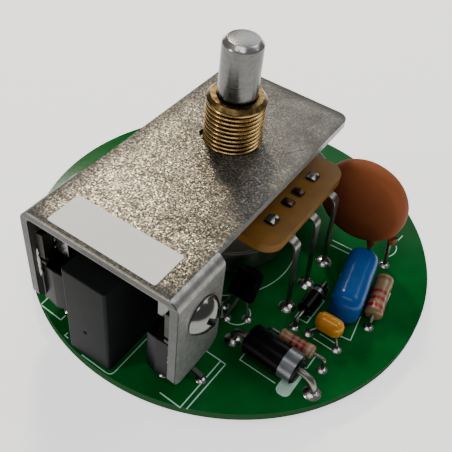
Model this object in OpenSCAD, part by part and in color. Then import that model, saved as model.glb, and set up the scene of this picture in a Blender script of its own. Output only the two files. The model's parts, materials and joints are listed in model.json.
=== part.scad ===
// DC motor speed controller: a round circuit board that carries a bent aluminium
// heat sink, a panel potentiometer with a turning shaft, two tab-mounted power
// switches and the small parts around them. Millimetres, +Z up.
// Origin: centre of the round board, level with the lowest lead tips.

/* [Circuit board] */
// Diameter of the round board
board_d = 72.6; // [70.6:0.2:90]
// Thickness of the board
board_t = 1.6; // [1:0.1:2.4]
// How far the soldered leads reach below the board
stub_h = 1.4; // [1:0.1:2.4]

/* [Heat sink bracket] */
// Length of the flat plate
plate_l = 50.4; // [46:0.2:58]
// Width of the flat plate behind the flanges
plate_w = 24.8; // [20:0.2:26]
// Thickness of the aluminium sheet
sheet_t = 1.3; // [1:0.1:1.6]
// Height of the plate's top above the board
plate_h = 23.3; // [22.9:0.1:27]
// Length of each bent flange
flange_l = 10.8; // [10.4:0.1:14]
// Gap between a flange's lower edge and the board
flange_gap = 3.8; // [3:0.1:6]
// Outer radius of the bends
bend_r = 2.1; // [1.8:0.1:3]
// Radius of the plate's two rear corners
corner_r = 2; // [0.5:0.1:4]

/* [Potentiometer] */
// Diameter of the threaded bushing
bushing_d = 9.525; // [8.6:0.025:9.6]
// Length of the bushing from its mounting face
bushing_l = 9.5; // [7:0.1:12]
// Diameter of the shaft
shaft_d = 6.35; // [5.5:0.05:7]
// Length of the shaft from the mounting face
shaft_l = 19.05; // [14:0.05:30]
// Turning angle of the shaft from end to end
travel = 300; // [200:5:310]
// Outer diameter of the potentiometer's can
can_d = 24.6; // [22:0.2:25]
// Height of the can's upper part
can_h = 7.7; // [7:0.1:8]
// Height of the can's rear cap
cap_h = 4; // [2.5:0.1:4.6]
// Thickness of the terminal board
wafer_t = 1.6; // [1.2:0.1:2]
// Distance from the shaft to the terminal board's outer edge
wafer_reach = 16.3; // [15.6:0.1:17]

/* [Power switches] */
// Width of a power switch
tab_w = 10; // [9.6:0.1:10.4]
// Height of its moulded body
case_h = 9; // [8:0.1:9.4]
// Thickness of its moulded body
case_t = 4.5; // [4:0.1:4.8]
// Height of the metal tab above the body
fin_h = 6.4; // [6:0.1:7]
// Height of the body above the board
case_rise = 3.2; // [2.6:0.1:3.6]
// Diameter of the fixing screws
screw_d = 3; // [2.6:0.1:3.2]

/* [Box capacitor] */
// Width of the box
box_w = 8; // [6:0.1:8.2]
// Length of the box
box_l = 18; // [12:0.2:18.4]
// Height of the box
box_h = 18.6; // [14:0.1:20]

/* [Small parts] */
// Diameter of the disc
disc_d = 16.4; // [14:0.1:17.2]
// Thickness of the disc
disc_t = 3.8; // [3.4:0.1:5]
// Length of the film capacitor
film_l = 14.2; // [9:0.1:14.4]
// Length of the large diode's body
diode_l = 9.4; // [7:0.1:10]
// Diameter of the large diode's body
diode_d = 5.2; // [4:0.1:5.4]
// Length of the large resistor's body
resist_l = 9.2; // [7:0.1:9.6]
// Diameter of the large resistor's body
resist_d = 3.2; // [2.4:0.1:3.6]
// Height of the round capacitor
round_h = 10.2; // [8:0.1:14]

/* [Hidden] */
$fn = 64;

// Working values shared by every piece
over = 0.5;                 // overrun of every cut
seat = 0.05;                // gap between faces that are clamped or stand together
run_gap = 0.05;             // radial clearance of the turning shaft
board_z = stub_h;           // underside of the board
top_z = stub_h + board_t;   // top of the board
hole_gap = 0.1;             // radial clearance of a lead in its board hole

// Potentiometer
pot_x = -1.8;               // place of the shaft on the board
pot_y = -1.1;
mount_z = top_z + plate_h - sheet_t;    // mounting face, under the plate
front_h = 4.7;              // height of the front plate
front_d = 21;               // diameter of the front plate
wafer_z = mount_z - front_h - wafer_t;  // underside of the terminal board
wafer_w = 24.2;             // width of the terminal board
wafer_r = 3.2;              // its corner radius
can_wall = 0.5;             // wall of the can and of its cap
can_z = wafer_z - can_h;    // rim between the can and its cap
bead_w = 0.3;               // how far the rim's bead stands out
bead_h = 0.8;
fold_w = 3.2;               // the can's folded ears
fold_l = 2.2;
shaft_chamfer = 0.75;
bush_chamfer = 0.5;
runout = 0.35;              // groove where the bushing's thread ends
runout_h = 0.2;             // its height above the plate
mouth_in = 0.8;             // grease groove of the shaft, below and above the bushing's mouth
mouth_out = 0.3;
mouth_depth = 0.2;
groove_h = 0.7;             // clip groove under the bushing
groove_depth = 0.5;
clip_t = 0.5;
clip_w = 1.6;
hub_d = 8.4;                // hub of the rotor
rotor_d = 20;
rotor_t = 1.6;
rotor_drop = 2.6;           // gap between the terminal board and the rotor
lug_w = 2.4;                // stop lug on the rotor
lug_l = 1.6;
stop_in = 10.15;            // inner radius of the stop in the can
stop_free = 1;              // angle left between lug and stop at each end of the travel
wiper_t = 0.3;
wiper_w = 2.2;
wiper_r = 7.4;              // radius of the wiper's contact path
track_w = 2.6;
track_t = 0.15;
track_gap = 0.1;
blade_w = 1.7;              // terminals of the potentiometer
blade_t = 0.5;
blade_tip_w = 1.2;
blade_pitch = 6.5;
rivet_reach = 12.5;         // rivets, from the shaft
blade_out = 17.6;           // where a terminal bends down, from the shaft
blade_turn = 1.3;           // radius of that bend
blade_foot = 18.3;          // terminal holes in the circuit board, from the shaft
leaf_l = 1.5;
leaf_w = 1.9;
leaf_t = 0.4;
leaf_lift = 18;             // angle of the opened rivet leaves
pair_gap = 3.1;             // the middle rivet is a pair
stake_d = 1.1;

// Bracket
flange_out = 13.9;          // outer face of a flange, from the middle of the plate
front_y = -33.85;           // front edge of the plate on the board
flange_back = front_y + flange_l;
inner_r = bend_r - sheet_t;
notch_l = 0.9;              // relief where a flange ends
foot_r = 2;                 // rounded lower corners of the flanges
bush_gap = 0.15;
key_at = 4.5;               // round notch in the bushing's hole, from the shaft
key_r = 0.9;
key_turn = 209;
label_w = 18.9;
label_l = 6.3;
label_t = 0.1;
label_front = 0.85;         // bare strip in front of the label

// Power switches
pad_t = 0.2;                // thermal pad between tab and flange
tab_t = 1.3;
tab_back = flange_out - sheet_t - pad_t;
case_y = -28.05;            // middle of the switches along the board
case_z = top_z + case_rise;
tab_h = case_h + fin_h;     // height of body and tab together
draft = 0.35;               // taper of the moulded body
wrap_w = 0.9;               // how much narrower the tab is inside the body
eye_d = 3.7;                // hole in the tab
eye_drop = 2.8;             // from the tab's upper end
eye_z = case_z + tab_h - eye_drop;
lead_pitch = 2.54;
lead_w = 0.8;
lead_t = 0.5;
lead_in = 2.6;              // leads, from the tab's back face
lead_out = 2.5;             // the middle lead's foot, outside the tab's back face
out_level = 0.9;            // height where the middle lead reaches its foot
shoulder_w = 1.3;
shoulder_h = 1.4;
head_d = 6.5;
head_h = 2.3;
dome_share = 0.56;          // radius of the head's dome as a share of its diameter
cross_w = 0.75;
cross_l = 3.6;
cross_depth = 1.1;
screw_l = 7.6;              // length under the head
screw_gap = 0.2;
nut_w = 5.5;                // across the flats
nut_h = 2.3;
washer_t = 0.5;
washer_d = 6.2;
tooth_count = 10;
tooth_l = 0.55;
tooth_w = 0.8;

// Box capacitor
box_x = -2.8;
box_front = -35.6;
foot_h = 0.4;
foot_w = 1;
box_edge = 0.5;
dimple_d = 0.9;
dimple_depth = 0.3;
dimple_z_share = 0.25;
pin_inset = 1.6;
pin_d = 0.8;

// Disc
disc_x = 18.3;
disc_y = 12.6;
disc_rise = 11;           // centre above the board
disc_edge = 1.6;            // rounding of the disc's rim
disc_turns = [35, 65];      // where the leads leave the rim, below level
disc_foot_x = [25.8, 22.1];
disc_foot_y = [11.8, 12.4];
neck_out = 0.6;             // how far the coating runs past the rim
neck_d = 1.6;
thin_d = 0.8;               // lead diameter

// Film capacitor and large resistor stand at an angle
skew = 11;
film_x = 24.2;
film_y = 0.65;
film_w = 5.5;
film_h = 6.9;
film_rise = 0.3;
film_r = 2.2;               // rounding of the dipped body
film_pitch = 7.5;
film_lead_d = 0.7;
resist_x = 28.6;
resist_y = 2.5;
resist_rise = 0.5;
resist_span = 10.9;
resist_waist_share = 0.86;  // waist between the end caps
resist_cap_share = 0.22;
resist_lead_d = 0.7;

// Small dipped capacitor
chip_x = 24.75;
chip_y = -10.15;
chip_lean = 1.3;            // how far the body stands behind its leads
chip_w = 5;
chip_t = 2.8;
chip_h = 3.6;
chip_rise = 1.2;
chip_pitch = 5.3;
chip_lead_d = 0.5;

// Large diode
diode_x = 20.5;
diode_y = -19.2;
diode_turn = -3.2;
diode_rise = 0.6;           // gap between the body and the board
diode_span = 15.15;
diode_lead_d = 1.25;
diode_edge = 0.35;
band_w = 2.3;
band_from = 0.35;           // from the body's end
band_skin = 0.04;
diode_bend = 2.3;

// Small diode
dio_x = 19.7;
dio_y = -5.4;
dio_l = 5.2;
dio_d = 2.7;
dio_rise = 0.7;
dio_span = 10.2;
dio_lead_d = 0.75;
dio_band_w = 0.8;
dio_band_from = 0.5;

// Small resistor
small_x = 22.2;
small_y = -15;
small_l = 6.3;
small_d = 2.3;
small_rise = 1.5;
small_span = 10.2;
small_lead_d = 0.6;

// Transistor, leaning back
tran_gap = 4.44;            // from the potentiometer's rim to its middle
tran_turn = -45.24;         // direction in which it stands from the shaft
tran_reach = can_d / 2 + bead_w + tran_gap;
tran_x = pot_x + tran_reach * cos(tran_turn);
tran_y = pot_y + tran_reach * sin(tran_turn);
tran_d = 4.8;
tran_l = 4.7;
tran_flat = 3.6;            // thickness from the flat to the round side
tran_lean = 30;
tran_rise = 3.4;
tran_lead_d = 0.5;
tran_pitch = 1.27;
tran_foot_in = 2.2;         // how far its leads stand in front of the body
tran_foot_y = tran_y - tran_foot_in;
tran_spread = 2.3;

// Round capacitor behind the potentiometer
round_d = 10;
round_gap = 0.33;           // from the potentiometer's rim
round_turn = 71.46;         // direction in which it stands from the shaft
round_reach = can_d / 2 + bead_w + round_gap + round_d / 2;
round_x = pot_x + round_reach * cos(round_turn);
round_y = pot_y + round_reach * sin(round_turn);
round_rise = 0.2;
round_edge = 0.8;
round_neck = 1.6;           // bead pressed in near the leads
round_neck_in = 0.35;
round_pitch = 5;
vent_w = 0.5;
vent_l = 7;
vent_depth = 0.25;

// Solder
small_pad = 0.9;
mid_pad = 1;
big_pad = 1.5;
joint_share = 0.42;         // height of a joint as a share of its radius
fillet_rise = 0.95;
solder_lip = 0.12;
lead_level = 0.75;          // height above the board where a slanted lead turns down

// Leads in the board: place, solder radius, then either a round lead's diameter or a blade
function blade_feet() = [for (i = [-1:1])
    [pot_x + blade_foot, pot_y + i * blade_pitch, big_pad, 0, blade_tip_w, blade_t]];
function switch_feet(side) = [for (i = [-1:1])
    [pot_x + side * (i == 0 ? tab_back + lead_out : tab_back - lead_in),
        case_y + i * lead_pitch, small_pad, 0, lead_w, lead_t]];
function axial_feet(x, y, turn, span, pad, d) = [for (s = [-1, 1])
    [x + s * span / 2 * cos(turn), y + s * span / 2 * sin(turn), pad, d, 0, 0]];
box_mid = box_front + box_l / 2;
function box_feet() = [for (s = [-1, 1])
    [box_x, box_mid + s * (box_l / 2 - pin_inset), small_pad, pin_d, 0, 0]];
function disc_feet() = [for (i = [0, 1])
    [disc_foot_x[i], disc_foot_y[i], mid_pad, thin_d, 0, 0]];
function tran_feet() = [
    [tran_x - tran_pitch / 2, tran_foot_y - tran_pitch / 2, small_pad, tran_lead_d, 0, 0],
    [tran_x + tran_spread, tran_foot_y + tran_pitch, small_pad, tran_lead_d, 0, 0],
    [tran_x - tran_spread, tran_foot_y + tran_pitch, small_pad, tran_lead_d, 0, 0]];
hidden_feet = concat(box_feet(),
    axial_feet(film_x, film_y, 90 + skew, film_pitch, mid_pad, film_lead_d),
    axial_feet(round_x, round_y, 0, round_pitch, small_pad, thin_d));
open_feet = concat(blade_feet(), switch_feet(1), switch_feet(-1), disc_feet(),
    axial_feet(resist_x, resist_y, 90 + skew, resist_span, small_pad, resist_lead_d),
    axial_feet(chip_x, chip_y, 0, chip_pitch, small_pad, chip_lead_d),
    axial_feet(diode_x, diode_y, diode_turn, diode_span, big_pad, diode_lead_d),
    axial_feet(dio_x, dio_y, 90, dio_span, small_pad, dio_lead_d),
    axial_feet(small_x, small_y, 0, small_span, small_pad, small_lead_d),
    tran_feet());
feet = concat(open_feet, hidden_feet);
function foot_r_of(f) = f[3] > 0 ? f[3] / 2 : norm([f[4], f[5]]) / 2;

// Outline of a strip of even thickness that follows a line of points
function unit(v) = v / norm(v);
function side_of(a, b) = let (u = unit(b - a)) [-u.y, u.x];
function strip_side(p, t, s) = [for (i = [0:len(p) - 1])
    let (n0 = side_of(p[max(i - 1, 0)], p[max(i, 1)]),
        n1 = side_of(p[min(i, len(p) - 2)], p[min(i + 1, len(p) - 1)]))
    p[i] + s * t / 2 * (n0 + n1) / (1 + n0 * n1)];
function strip_outline(p, t) = let (b = strip_side(p, t, -1))
    concat(strip_side(p, t, 1), [for (i = [len(b) - 1:-1:0]) b[i]]);

// A flat strip bent in the X-Z plane, its width along Y
module strip(p, t, w) {
    translate([0, w / 2, 0]) rotate([90, 0, 0]) linear_extrude(w) polygon(strip_outline(p, t));
}

// A round rod between two points
module rod(a, b, d) {
    v = b - a;
    translate(a) rotate([0, acos(v.z / norm(v)), atan2(v.y, v.x)]) cylinder(h = norm(v), d = d);
}

// A lead that starts at a point, slants to its foot and bends to go straight down
module splayed(from, foot, level, d, bend) {
    h = norm([from.x - foot.x, from.y - foot.y]);
    turn = atan2(from.y - foot.y, from.x - foot.x);
    lean = atan2(h, from.z - level);
    knee = bend * tan(lean / 2);
    length = norm([h, from.z - level]) - knee;
    translate([foot.x, foot.y, 0]) rotate(turn) {
        cylinder(h = level - knee, d = d);
        translate([bend, 0, level - knee]) rotate([90, 0, 0]) rotate(180 - lean)
            rotate_extrude(angle = lean) translate([bend, 0]) circle(d = d);
        translate([bend - bend * cos(lean), 0, level - knee + bend * sin(lean)])
            rotate([0, lean, 0]) cylinder(h = length, d = d);
    }
}

// One leg of a lying part: out along +X, round a bend and down to the lead tip
module leg(from, to, level, d, bend) {
    translate([from, 0, level]) rotate([0, 90, 0]) cylinder(h = to - bend - from, d = d);
    translate([to - bend, 0, level - bend]) rotate([90, 0, 0])
        rotate_extrude(angle = 90) translate([bend, 0]) circle(d = d);
    translate([to, 0, 0]) cylinder(h = level - bend, d = d);
}

// Both legs of a lying part
module legs(body_l, span, level, d, bend) {
    for (s = [0, 1]) mirror([s, 0, 0]) leg(body_l / 2, span / 2, level, d, bend);
}

// A block with rounded corners and edges, as a dipped coating leaves it
module dipped(w, l, h, r) {
    ys = l > 2 * r ? [-1, 1] : [0];
    hull() for (x = [-1, 1], y = ys, z = [r, h - r])
        translate([x * (w / 2 - r), y * (l / 2 - r), z]) sphere(r = r, $fn = 24);
}

module rounded(w, l, r) {
    for (a = [[w, l - 2 * r], [w - 2 * r, l]]) square(a, center = true);
    for (x = [-1, 1], y = [-1, 1]) translate([x * (w / 2 - r), y * (l / 2 - r)]) circle(r);
}

// Circuit board and its solder

module circuit_board() color("seagreen")
difference() {
    translate([0, 0, board_z]) cylinder(h = board_t, d = board_d, $fn = 180);
    for (f = feet) translate([f[0], f[1], board_z - over])
        cylinder(h = board_t + 2 * over, r = foot_r_of(f) + hole_gap, $fn = 24);
}

// What a joint leaves free for its lead
module lead_core(f, h) {
    translate([0, 0, -over]) if (f[3] > 0) cylinder(h = h + 2 * over, d = f[3]);
        else translate([-f[5] / 2, -f[4] / 2, 0]) cube([f[5], f[4], h + 2 * over]);
}

// A joint on the parts side: a low dome round the lead
module dome(f) {
    dome_rise = joint_share * f[2];
    ball = (f[2] * f[2] + dome_rise * dome_rise) / (2 * dome_rise);
    difference() {
        intersection() {
            translate([0, 0, dome_rise - ball]) sphere(ball);
            cylinder(h = dome_rise, r = 2 * f[2]);
        }
        lead_core(f, dome_rise);
    }
}

// A joint underneath: a fillet that rises from the pad to the lead
module fillet(f) {
    r = foot_r_of(f);
    curve = min(f[2] - r - solder_lip, fillet_rise);
    difference() {
        rotate_extrude($fn = 40) difference() {
            square([r + solder_lip + curve, fillet_rise]);
            translate([r + solder_lip + curve, fillet_rise]) circle(curve, $fn = 32);
        }
        lead_core(f, fillet_rise);
    }
}

// Bodies that sit on the board leave no room for a joint on top
module solder_top() color("silver")
for (f = open_feet) translate([f[0], f[1], top_z]) dome(f);

module solder_bottom() color("silver")
for (f = feet) translate([f[0], f[1], board_z]) mirror([0, 0, 1]) fillet(f);

// Heat sink bracket

// The sheet seen from the front: a plate with both flanges bent down
module bent_profile() {
    top = top_z + plate_h;
    low = top_z + flange_gap;
    difference() {
        union() {
            translate([-flange_out + bend_r, low]) square([2 * (flange_out - bend_r), top - low]);
            translate([-flange_out, low]) square([2 * flange_out, top - bend_r - low]);
            for (s = [-1, 1]) translate([s * (flange_out - bend_r), top - bend_r]) circle(bend_r);
        }
        w = flange_out - sheet_t;
        translate([-w, low - over]) square([2 * w, top - bend_r - low + over]);
        translate([-w + inner_r, low]) square([2 * (w - inner_r), top - sheet_t - low]);
        for (s = [-1, 1]) translate([s * (w - inner_r), top - bend_r]) circle(inner_r);
    }
}

// The flange seen from the side, with rounded lower corners
module flange_side() {
    top = top_z + plate_h + over;
    low = top_z + flange_gap;
    translate([front_y, low + foot_r]) square([flange_l, top - low - foot_r]);
    translate([front_y + foot_r, low]) square([flange_l - 2 * foot_r, top - low]);
    for (y = [front_y + foot_r, flange_back - foot_r]) translate([y, low + foot_r]) circle(foot_r);
}

module plate_outline() {
    y1 = front_y + plate_l;
    translate([-plate_w / 2, front_y]) square([plate_w, plate_l - corner_r]);
    translate([-plate_w / 2 + corner_r, front_y]) square([plate_w - 2 * corner_r, plate_l]);
    for (s = [-1, 1]) translate([s * (plate_w / 2 - corner_r), y1 - corner_r]) circle(corner_r);
}

module heat_sink() color("lightgray")
difference() {
    translate([pot_x, 0, 0]) union() {
        translate([0, 0, mount_z]) linear_extrude(sheet_t) plate_outline();
        intersection() {
            translate([0, flange_back, 0]) rotate([90, 0, 0]) linear_extrude(flange_l) bent_profile();
            rotate([90, 0, 90]) linear_extrude(2 * flange_out + 2 * over, center = true) flange_side();
        }
    }
    translate([pot_x, pot_y, mount_z - over])
        cylinder(h = sheet_t + 2 * over, r = bushing_d / 2 + bush_gap);
    translate([pot_x, pot_y, mount_z - over]) rotate(key_turn) translate([key_at, 0, 0])
        cylinder(h = sheet_t + 2 * over, r = key_r);
    translate([pot_x - flange_out - over, case_y, eye_z]) rotate([0, 90, 0])
        cylinder(h = 2 * (flange_out + over), r = screw_d / 2 + screw_gap);
}

module blank_label() color("white")
translate([pot_x - label_w / 2 + label_shift, front_y + label_front, top_z + plate_h])
    cube([label_w, label_l, label_t]);
label_shift = 0.1;

// Potentiometer

// A groove turned into a bar of diameter d
module groove(d, h, depth) difference() {
    cylinder(h = h, d = d + 2 * over);
    translate([0, 0, -over]) cylinder(h = h + 2 * over, d = d - 2 * depth);
}

// The thread runs out in a groove that ends just above the plate
module pot_bushing() color("peru")
translate([pot_x, pot_y, mount_z - front_h]) difference() {
    union() {
        cylinder(h = front_h, d = bushing_d);
        translate([0, 0, front_h]) cylinder(h = bushing_l - bush_chamfer, d = bushing_d);
        translate([0, 0, front_h + bushing_l - bush_chamfer])
            cylinder(h = bush_chamfer, d1 = bushing_d, d2 = bushing_d - 2 * bush_chamfer);
    }
    translate([0, 0, -over]) cylinder(h = front_h + bushing_l + 2 * over, r = shaft_d / 2 + run_gap);
    translate([0, 0, front_h]) groove(bushing_d, sheet_t + runout_h, runout);
}

// The front plate carries the bushing and the peg that fits the bracket's notch
module pot_front_plate() color("darkgray")
translate([pot_x, pot_y, mount_z - front_h]) difference() {
    union() {
        cylinder(h = front_h - seat, d = front_d);
        rotate(key_turn) translate([key_at, 0, 0])
            cylinder(h = front_h + sheet_t / 2, r = key_r - bush_gap);
    }
    translate([0, 0, -over]) cylinder(h = front_h + over, d = bushing_d);
    translate([0, 0, front_h - 2 * seat]) cylinder(h = sheet_t + over, r = bushing_d / 2 + seat);
}

module wafer_outline() {
    difference() {
        union() {
            circle(d = wafer_w, $fn = 96);
            translate([0, -wafer_w / 2]) square([wafer_reach - wafer_r, wafer_w]);
            translate([0, -wafer_w / 2 + wafer_r]) square([wafer_reach, wafer_w - 2 * wafer_r]);
            for (s = [-1, 1]) translate([wafer_reach - wafer_r, s * (wafer_w / 2 - wafer_r)])
                circle(wafer_r);
        }
        circle(d = hub_d + 2 * bush_gap);
    }
}

rivet_places = [for (y = [-blade_pitch, -pair_gap / 2, pair_gap / 2, blade_pitch]) [rivet_reach, y]];

module pot_terminal_board() color("goldenrod")
translate([pot_x, pot_y, wafer_z]) linear_extrude(wafer_t - seat) difference() {
    wafer_outline();
    for (p = rivet_places) translate(p) circle(d = stake_d);
}

module pot_track() color("dimgray")
translate([pot_x, pot_y, wafer_z - track_t]) difference() {
    cylinder(h = track_t, r = wiper_r + track_w / 2);
    translate([0, 0, -over]) cylinder(h = track_t + 2 * over, r = wiper_r - track_w / 2);
    translate([0, -lug_w / 2, -over]) cube([wafer_reach, lug_w, track_t + 2 * over]);
}

// Each terminal starts under its rivet, passes under the board's edge and bends down
module pot_terminals() color("silver")
translate([pot_x, pot_y, 0]) for (i = [-1:1]) translate([0, i * blade_pitch, 0]) {
    lip = wafer_z - blade_t / 2;
    difference() {
        strip(concat([[can_d / 2 + over, lip]], [for (a = [0:15:90])
            [blade_out - blade_turn + blade_turn * sin(a), lip - blade_turn + blade_turn * cos(a)]],
            [[blade_foot, top_z + lead_level], [blade_foot, 0]]), blade_t, blade_w);
        for (s = [0, 1]) mirror([0, s, 0]) translate([blade_out - 2 * blade_w, blade_tip_w / 2, -over])
            cube([4 * blade_w, blade_w, over + lip - 2 * blade_turn]);
    }
}

// Rivets: a stake through the board with two leaves opened over it
module pot_rivets() color("silver")
translate([pot_x, pot_y, wafer_z]) for (p = rivet_places) translate(p) {
    cylinder(h = wafer_t, d = stake_d, $fn = 32);
    translate([0, 0, wafer_t - seat]) for (s = [0, 1]) mirror([s, 0, 0]) rotate([0, -leaf_lift, 0])
        translate([0, -leaf_w / 2, 0]) cube([leaf_l / 2 + leaf_t, leaf_w, leaf_t]);
}

// The can: a drawn cup under the terminal board with a stop pressed in beside the terminals
module pot_can() color("dimgray")
translate([pot_x, pot_y, can_z]) {
    difference() {
        union() {
            cylinder(h = can_h - seat, d = can_d, $fn = 96);
            cylinder(h = bead_h, d = can_d + 2 * bead_w, $fn = 96);
        }
        translate([0, 0, -over]) cylinder(h = can_h + 2 * over, d = can_d - 2 * can_wall, $fn = 96);
    }
    half = 180 - travel / 2 - asin(lug_w / 2 / stop_in) - stop_free;
    translate([0, 0, can_h - rotor_drop - 2 * rotor_t]) rotate(-half) rotate_extrude(angle = 2 * half)
        translate([stop_in, 0]) square([can_d / 2 - can_wall / 2 - stop_in, 2 * rotor_t]);
}

module pot_rear_cap() color("gray")
translate([pot_x, pot_y, can_z - cap_h]) difference() {
    cylinder(h = cap_h - seat, d = can_d, $fn = 96);
    translate([0, 0, can_wall]) cylinder(h = cap_h, d = can_d - 2 * can_wall, $fn = 96);
}

shaft_low = wafer_z - rotor_drop - rotor_t;
module pot_shaft() color("silver")
translate([pot_x, pot_y, 0]) difference() {
    union() {
        translate([0, 0, shaft_low]) cylinder(h = mount_z + shaft_l - shaft_chamfer - shaft_low, d = shaft_d);
        translate([0, 0, mount_z + shaft_l - shaft_chamfer])
            cylinder(h = shaft_chamfer, d1 = shaft_d, d2 = shaft_d - 2 * shaft_chamfer);
    }
    translate([0, 0, clip_z - (groove_h - clip_t) / 2]) groove(shaft_d, groove_h, groove_depth);
    translate([0, 0, mount_z + bushing_l - mouth_in]) groove(shaft_d, mouth_in + mouth_out, mouth_depth);
}
clip_z = mount_z - front_h - clip_t - 2 * seat;

// Open clip that holds the shaft in the bushing
module pot_clip() color("gray")
translate([pot_x, pot_y, clip_z]) difference() {
    cylinder(h = clip_t, d = hub_d - 2 * bush_gap);
    translate([0, 0, -over]) cylinder(h = clip_t + 2 * over, d = shaft_d - 2 * groove_depth);
    translate([0, -clip_w / 2, -over]) cube([hub_d, clip_w, clip_t + 2 * over]);
}

// The rotor: a moulded disc on the shaft with its stop lug turned away from the stop
module pot_rotor() color("ivory")
translate([pot_x, pot_y, shaft_low]) difference() {
    union() {
        cylinder(h = rotor_t, d = rotor_d);
        cylinder(h = rotor_t + rotor_drop / 2, d = hub_d);
        translate([-rotor_d / 2 - lug_l / 2, -lug_w / 2, 0]) cube([lug_l, lug_w, rotor_t]);
    }
    translate([0, 0, -over]) cylinder(h = rotor_t + rotor_drop + 2 * over, d = shaft_d);
}

// The wiper: a sprung leaf from the rotor up to the track
module pot_wiper() color("gold")
translate([pot_x, pot_y, shaft_low + rotor_t]) {
    rise = rotor_drop - track_t - track_gap;
    translate([-wiper_r, 0, 0]) strip([[-wiper_w / 2, wiper_t / 2], [wiper_w / 2, wiper_t / 2],
        [-wiper_w / 2, rise - wiper_t / 2], [wiper_w / 4, rise - wiper_t / 2]], wiper_t, wiper_w);
}

// Power switches and their fixings

// The moulded body with its draft above and below the parting line
module switch_body() {
    mid = case_t - tab_t - lead_in + tab_t;
    for (a = [[0, mid, draft, 0], [mid, case_t - mid, 0, draft]])
        translate([a[0], 0, 0]) hull() for (e = [[0, a[2]], [a[1], a[3]]])
            translate([e[0] - (e[0] > 0 ? thin : 0), -tab_w / 2 + e[1], e[1]])
                cube([thin, tab_w - 2 * e[1], case_h - 2 * e[1]]);
}
thin = 0.01;

module placed(side) translate([pot_x, case_y, case_z]) mirror([side > 0 ? 0 : 1, 0, 0])
    translate([tab_back - case_t, 0, 0]) children();

// The body closes round the tab's sides and leaves its back free
module switch_case(side) placed(side) difference() {
    switch_body();
    translate([case_t - tab_t - seat, -tab_w / 2 + wrap_w - seat, -over])
        cube([tab_t + over, tab_w - 2 * wrap_w + 2 * seat, case_h + 2 * over]);
}

module switch_tab(side) placed(side) difference() {
    union() {
        translate([case_t - tab_t, -tab_w / 2 + wrap_w, 0])
            cube([tab_t, tab_w - 2 * wrap_w, case_h + 2 * seat]);
        translate([case_t - tab_t, -tab_w / 2 + draft / 2, case_h + seat])
            cube([tab_t, tab_w - draft, fin_h - seat]);
    }
    translate([0, 0, tab_h - eye_drop]) rotate([0, 90, 0]) cylinder(h = case_t + over, d = eye_d);
    for (s = [-1, 1]) translate([case_t - tab_t - over, s * tab_w / 2 - ear_r, case_h + ear_r])
        cube([tab_t + 2 * over, 2 * ear_r, ear_r]);
}
ear_r = 0.7;

// Outer leads run straight down; the middle one is formed outward under the flange
module switch_leads(side) placed(side) {
    x = case_t - lead_in;
    x_out = case_t + lead_out;
    low = top_z - case_z + out_level;
    for (s = [-1, 1]) translate([0, s * lead_pitch, 0]) {
        translate([x - lead_t / 2, -lead_w / 2, -case_z]) cube([lead_t, lead_w, case_z - seat]);
        translate([x - lead_t / 2, -shoulder_w / 2, -shoulder_h])
            cube([lead_t, shoulder_w, shoulder_h - seat]);
    }
    strip([[x, -seat], [x, low + (x_out - x) * slope_share], [x_out, low], [x_out, -case_z]], lead_t, lead_w);
}
slope_share = 0.3;

module switch_right_body() color("dimgray") switch_case(1);
module switch_left_body() color("dimgray") switch_case(-1);
module switch_right_tab() color("silver") switch_tab(1);
module switch_left_tab() color("silver") switch_tab(-1);
module switch_right_leads() color("silver") switch_leads(1);
module switch_left_leads() color("silver") switch_leads(-1);

module thermal_pads() color("whitesmoke")
for (side = [1, -1]) placed(side) difference() {
    translate([case_t + seat / 2, -tab_w / 2 + draft, 0])
        cube([pad_t - seat, tab_w - 2 * draft, tab_h]);
    translate([0, 0, tab_h - eye_drop]) rotate([0, 90, 0]) cylinder(h = case_t + over, d = eye_d);
}

// Everything on a fixing screw's axis is drawn outward from the flange's outer face
module on_screw(side) translate([pot_x, case_y, eye_z]) mirror([side > 0 ? 0 : 1, 0, 0])
    translate([flange_out, 0, 0]) rotate([0, 90, 0]) children();

module screw_head() {
    dome = dome_share * head_d;
    difference() {
        intersection() {
            translate([0, 0, seat]) cylinder(h = head_h, d = head_d);
            translate([0, 0, head_h - dome]) sphere(dome, $fn = 96);
        }
        for (a = [0, 90]) rotate(a + 45) translate([-cross_l / 2, -cross_w / 2, head_h - cross_depth])
            cube([cross_l, cross_w, cross_depth + over]);
    }
}

module fixing_screws() color("silver")
for (side = [1, -1]) on_screw(side) union() {
    screw_head();
    translate([0, 0, -screw_l + seat]) cylinder(h = screw_l + seat, d = screw_d);
}

nut_top = sheet_t + pad_t + tab_t + washer_t;
module fixing_nuts() color("silver")
for (side = [1, -1]) on_screw(side) translate([0, 0, -nut_top - nut_h]) difference() {
    cylinder(h = nut_h - seat, d = nut_w / cos(30), $fn = 6);
    translate([0, 0, -over]) cylinder(h = nut_h + 2 * over, d = screw_d);
}

// Lock washers with a ring of outer teeth
module lock_washers() color("gray")
for (side = [1, -1]) on_screw(side) translate([0, 0, -nut_top]) difference() {
    union() {
        cylinder(h = washer_t - seat, d = washer_d - 2 * tooth_l);
        for (i = [0:tooth_count - 1]) rotate(i * 360 / tooth_count)
            translate([0, -tooth_w / 2, 0]) cube([washer_d / 2, tooth_w, washer_t - seat]);
    }
    translate([0, 0, -over]) cylinder(h = washer_t + 2 * over, r = screw_d / 2 + hole_gap);
}

// Box capacitor

module box_capacitor() color("dimgray")
translate([box_x, box_mid, top_z]) difference() {
    union() {
        translate([0, 0, foot_h]) linear_extrude(box_h - foot_h) rounded(box_w, box_l, box_edge);
        for (x = [-1, 1], y = [-1, 1]) translate([x * (box_w / 2 - foot_w) - foot_w / 2,
            y * (box_l / 2 - foot_w) - foot_w / 2, 0]) cube([foot_w, foot_w, foot_h + seat]);
    }
    translate([0, -box_l / 2 - over, box_h * dimple_z_share]) rotate([-90, 0, 0])
        cylinder(h = dimple_depth + over, d = dimple_d, $fn = 24);
}

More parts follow.
